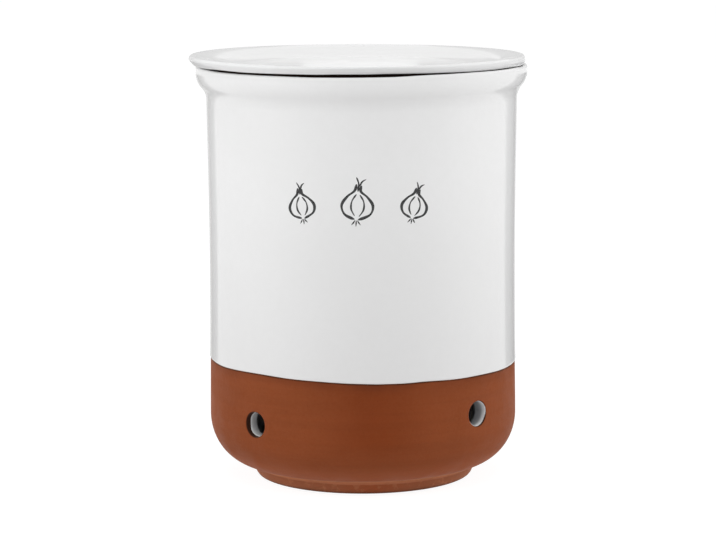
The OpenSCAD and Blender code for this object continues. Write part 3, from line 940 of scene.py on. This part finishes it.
def curve(points, steps=14):
    """A smooth line through points."""
    p = np.array([points[0]] + list(points) + [points[-1]], float)
    out = []
    for k in range(1, len(p) - 2):
        p0, p1, p2, p3 = p[k - 1:k + 3]
        for t in np.linspace(0, 1, steps, endpoint=False):
            out.append(0.5 * (2 * p1 + (p2 - p0) * t + (2 * p0 - 5 * p1 + 4 * p2 - p3) * t ** 2
                              + (3 * p1 - p0 - 3 * p2 + p3) * t ** 3))
    out.append(p[-2])
    return np.array(out)


def stroke(b, line, width):
    """One brush stroke: a low ribbon on the glaze, thin at both ends, along a line on the wall."""
    d = np.gradient(line, axis=0)
    d /= np.linalg.norm(d, axis=1)[:, None] + 1e-9
    side = np.stack([-d[:, 1], d[:, 0]], 1)
    length = np.concatenate([[0], np.cumsum(np.linalg.norm(np.diff(line, axis=0), axis=1))])
    t = length / length[-1]
    ends = np.minimum(1, np.minimum(t, 1 - t) * length[-1] / TAPER) ** TAPER_POWER
    press = 1 + PRESS * np.sin(PRESS_RATE * length / width / 3 + PRESS_START)
    w = width / 2 * (TIP + (1 - TIP) * ends) * press
    rings = []
    for i in range(len(line)):
        ring = []
        for u, h in RIBBON:
            s, z = line[i] + side[i] * w[i] * u
            r = wall_r_at(z) + GLAZE + h
            a = FRONT + s / WALL_R
            ring.append((r * math.cos(a), r * math.sin(a), z))
        rings.append(b.ring(ring))
    for k in range(len(rings) - 1):
        b.bridge(rings[k], rings[k + 1])
    b.faces.append(tuple(rings[0]))
    b.faces.append(tuple(rings[-1][::-1]))


def bulb(b, x, z, size, lean):
    c, s = math.cos(math.radians(lean)), math.sin(math.radians(lean))
    for width, points in BULB:
        line = curve([(x + size * (u * c + v * s), z + size * (v * c - u * s)) for u, v in points])
        stroke(b, line, width)


def make_drawing():
    b = Build()
    for place in BULBS:
        bulb(b, *place)
    b.piece("pot_drawing", "pot", INK_MAT, None, sharp=40)


make_pot()
make_outer_glaze()
make_inner_glaze()
make_lid()
make_lid_glaze()
make_lid_under_glaze()
make_drawing()

# Stage: levels of light and grey, where 1 is white, and sizes in metres
FLOOR_GLOW, FLOOR_SEEN, FLOOR_LIT = 0.92, 0.22, 0.82
FLOOR_W, FLOOR_DROP = 16, 0.0002
ROOM_SEEN, ROOM_LIGHT = 1.0, 0.435


def empty_tree(owner):
    """The node tree of a material or of the world, emptied."""
    owner.use_nodes = True
    owner.node_tree.nodes.clear()
    return owner.node_tree


def plain(tree, kind, level, strength=None):
    """A shader of an even grey, with a strength where it gives light."""
    n = tree.nodes.new(kind)
    n.inputs["Color"].default_value = (level, level, level, 1)
    if strength is not None:
        n.inputs["Strength"].default_value = strength
    return n.outputs[0]


def by_ray(tree, light, seen):
    """Gives seen to camera, mirror and transmission rays, and light to all others."""
    path = tree.nodes.new("ShaderNodeLightPath")
    direct = path.outputs["Is Camera Ray"]
    for kind in ("Is Glossy Ray", "Is Transmission Ray"):
        either = tree.nodes.new("ShaderNodeMath")
        either.operation = "MAXIMUM"
        tree.links.new(direct, either.inputs[0])
        tree.links.new(path.outputs[kind], either.inputs[1])
        direct = either.outputs[0]
    mix = tree.nodes.new("ShaderNodeMixShader")
    for k, out in enumerate((direct, light, seen)):
        tree.links.new(out, mix.inputs[k])
    return mix.outputs[0]


def show(tree, kind, shader):
    out = tree.nodes.new(kind)
    tree.links.new(shader, out.inputs["Surface"])


def make_floor():
    """White floor: camera and mirror rays see it near full white, with the part's shadow left in."""
    mat = bpy.data.materials.new("floor_white")
    t = empty_tree(mat)
    seen = t.nodes.new("ShaderNodeAddShader")
    t.links.new(plain(t, "ShaderNodeEmission", 1, FLOOR_GLOW), seen.inputs[0])
    t.links.new(plain(t, "ShaderNodeBsdfDiffuse", FLOOR_SEEN), seen.inputs[1])
    light = plain(t, "ShaderNodeBsdfDiffuse", FLOOR_LIT)
    show(t, "ShaderNodeOutputMaterial", by_ray(t, light, seen.outputs[0]))
    mesh = bpy.data.meshes.new("floor")
    w = FLOOR_W / 2
    mesh.from_pydata([(-w, -w, 0), (w, -w, 0), (w, w, 0), (-w, w, 0)], [], [(0, 1, 2, 3)])
    mesh.materials.append(mat)
    o = bpy.data.objects.new("floor", mesh)
    o.location = (0, 0, -FLOOR_DROP)
    scene.collection.objects.link(o)


def make_world():
    """An even white room, which lights the part less than it shows."""
    w = bpy.data.worlds.new("studio")
    scene.world = w
    t = empty_tree(w)
    seen = plain(t, "ShaderNodeBackground", 1, ROOM_SEEN)
    light = plain(t, "ShaderNodeBackground", 1, ROOM_LIGHT)
    show(t, "ShaderNodeOutputWorld", by_ray(t, light, seen))


def softbox(name, bearing, distance, height, size, power, aim):
    """A soft lamp at a bearing in degrees to the camera's right, aimed at a height on the axis."""
    a = math.radians(VIEW_A + bearing)
    place = Vector((distance * math.sin(a), -distance * math.cos(a), height))
    lamp = bpy.data.lights.new(name, "AREA")
    lamp.shape, lamp.size, lamp.size_y, lamp.energy = "RECTANGLE", size[0], size[1], power
    o = bpy.data.objects.new(name, lamp)
    o.location = place
    o.rotation_euler = (Vector((0, 0, aim)) - place).to_track_quat("-Z", "Y").to_euler()
    # The lamps stay out of the picture and the glaze, which mirrors the white room and the grey cards
    o.visible_camera = o.visible_glossy = False
    scene.collection.objects.link(o)


def grey_card(name, start, end, level, distance, low, high, steps=12):
    """A curved card between two bearings, which only the part's mirror light shows."""
    mesh = bpy.data.meshes.new(name)
    verts, faces = [], []
    for i in range(steps + 1):
        b = math.radians(VIEW_A + start + (end - start) * i / steps)
        x, y = distance * math.sin(b), -distance * math.cos(b)
        verts += [(x, y, low), (x, y, high)]
        if i:
            faces.append((2 * i - 2, 2 * i, 2 * i + 1, 2 * i - 1))
    mesh.from_pydata(verts, [], faces)
    mat = bpy.data.materials.new(name)
    t = empty_tree(mat)
    show(t, "ShaderNodeOutputMaterial", plain(t, "ShaderNodeEmission", 1, level))
    mat.cycles.emission_sampling = "NONE"
    mesh.materials.append(mat)
    o = bpy.data.objects.new(name, mesh)
    scene.collection.objects.link(o)
    o.visible_camera = o.visible_diffuse = o.visible_transmission = o.visible_shadow = False


make_floor()
make_world()
softbox("left_softbox", bearing=-70, distance=1.1, height=0.42, size=(1.0, 0.8), power=4.6, aim=0.11)
softbox("right_softbox", bearing=84, distance=1.1, height=0.42, size=(0.9, 0.8), power=4.7, aim=0.11)
softbox("top_softbox", bearing=180, distance=0.30, height=1.6, size=(1.2, 1.2), power=4.4, aim=0.2)
softbox("front_softbox", bearing=0, distance=0.75, height=1.1, size=(0.9, 0.9), power=3.6, aim=0.15)

# Cards behind the part and screens further off, on both sides, so that its edges read on white
CARD = dict(distance=0.32, low=0.0, high=0.185)
SCREEN = dict(distance=0.60, low=0.20, high=0.45)
grey_card("left_card", -127, -147, 0.32, **CARD)
grey_card("left_edge_card", -147, -174, 0.72, **CARD)
grey_card("right_card", 122, 149, 0.18, **CARD)
grey_card("right_edge_card", 149, 174, 0.72, **CARD)
grey_card("left_screen", -132, -176, 0.66, **SCREEN)
grey_card("right_screen", 132, 176, 0.66, **SCREEN)

# Camera at the photograph's place: metres from the axis, aside and up, and degrees down and of roll
CAM_OUT, CAM_ASIDE, CAM_UP = 1.4856, -0.00229, 0.332
CAM_DOWN, CAM_ROLL = 8.598, -0.279
LENS, SENSOR = 144.215, 36.0
CLIP_NEAR, CLIP_FAR = 0.05, 40
cam_data = bpy.data.cameras.new("camera")
cam_data.lens, cam_data.sensor_width, cam_data.sensor_fit = LENS, SENSOR, "HORIZONTAL"
cam_data.clip_start, cam_data.clip_end = CLIP_NEAR, CLIP_FAR
cam = bpy.data.objects.new("camera", cam_data)
out_dir = Vector((math.sin(RIGHT), -math.cos(RIGHT), 0))
right_dir = Vector((math.cos(RIGHT), math.sin(RIGHT), 0))
cam.location = out_dir * CAM_OUT + right_dir * CAM_ASIDE + Vector((0, 0, CAM_UP))
tilt = Euler((math.radians(90 - CAM_DOWN), 0, RIGHT)).to_matrix()
roll = Euler((0, 0, math.radians(CAM_ROLL))).to_matrix()
cam.rotation_euler = (tilt @ roll).to_euler()
scene.collection.objects.link(cam)
scene.camera = cam

scene.view_settings.view_transform = "Standard"
